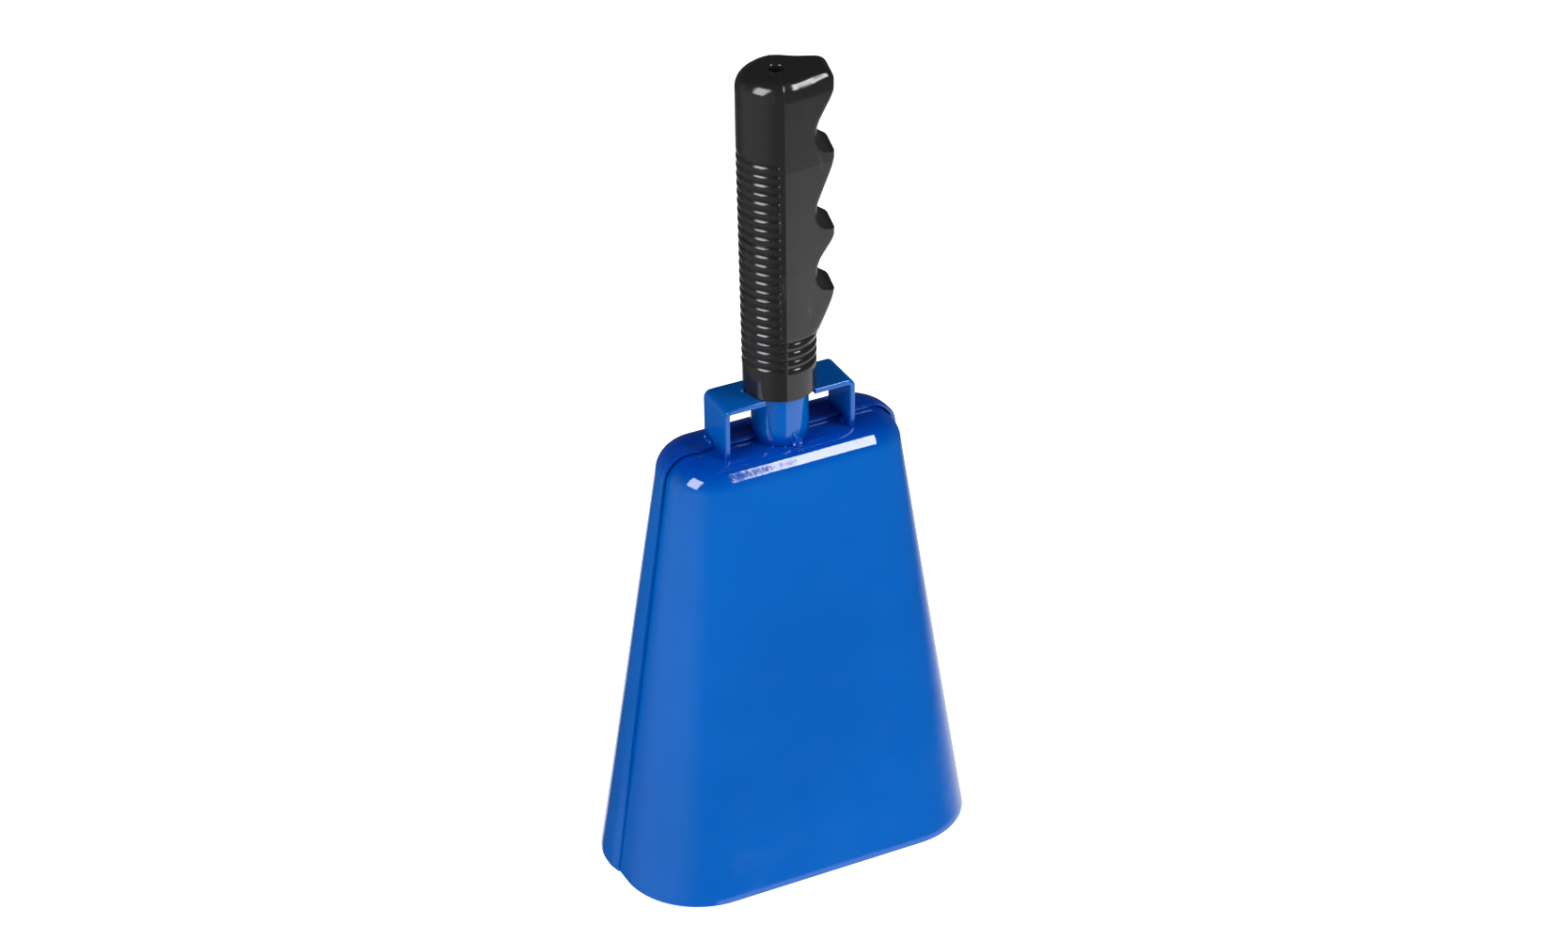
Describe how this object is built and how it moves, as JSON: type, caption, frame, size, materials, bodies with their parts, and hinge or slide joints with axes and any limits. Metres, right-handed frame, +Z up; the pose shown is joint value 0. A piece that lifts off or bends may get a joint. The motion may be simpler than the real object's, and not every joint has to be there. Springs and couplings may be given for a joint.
{
  "type": "cowbell",
  "caption": "Stick-handled cheering cowbell: flared two-shell steel bell painted blue, tube handle on bent strip brackets, black ribbed finger-groove grip, hanging clapper",
  "frame": {"origin": "middle of the open mouth, on the axis of the handle tube", "axes": "+Z up along the handle, X along the width of the bell, -Y the front face"},
  "size_m": [0.1276, 0.0666, 0.288],
  "materials": {
    "blue_enamel": "gloss enamel",
    "painted_weld": "gloss enamel over weld metal",
    "painted_wire": "gloss enamel over wire",
    "black_plastic": "gloss, moulded",
    "zinc_wire": "zinc plated",
    "ball_steel": "bright turned steel"
  },
  "bodies": {
    "root": {"front_shell": "blue_enamel", "rear_shell": "blue_enamel", "seam_tack_welds": "painted_weld", "handle_tube": "blue_enamel", "left_bracket": "blue_enamel", "right_bracket": "blue_enamel", "tube_foot_welds": "painted_weld", "bracket_foot_welds": "painted_weld", "bracket_arm_welds": "painted_weld", "hand_grip": "black_plastic", "clapper_staple": "painted_wire", "staple_welds": "painted_weld"},
    "link": {"clapper_link": "zinc_wire"},
    "clapper": {"clapper_rod": "zinc_wire", "clapper_ball": "ball_steel"}
  },
  "joints": [
    {"name": "link_swing", "type": "hinge", "parent": "root", "child": "link", "pos_m": [0, 0, 0.1462], "axis": [1, 0, 0], "range_deg": [-8, 8]},
    {"name": "clapper_swing", "type": "hinge", "parent": "link", "child": "clapper", "pos_m": [0, 0, 0.133], "axis": [0, 1, 0], "range_deg": [-21, 21]}
  ]
}
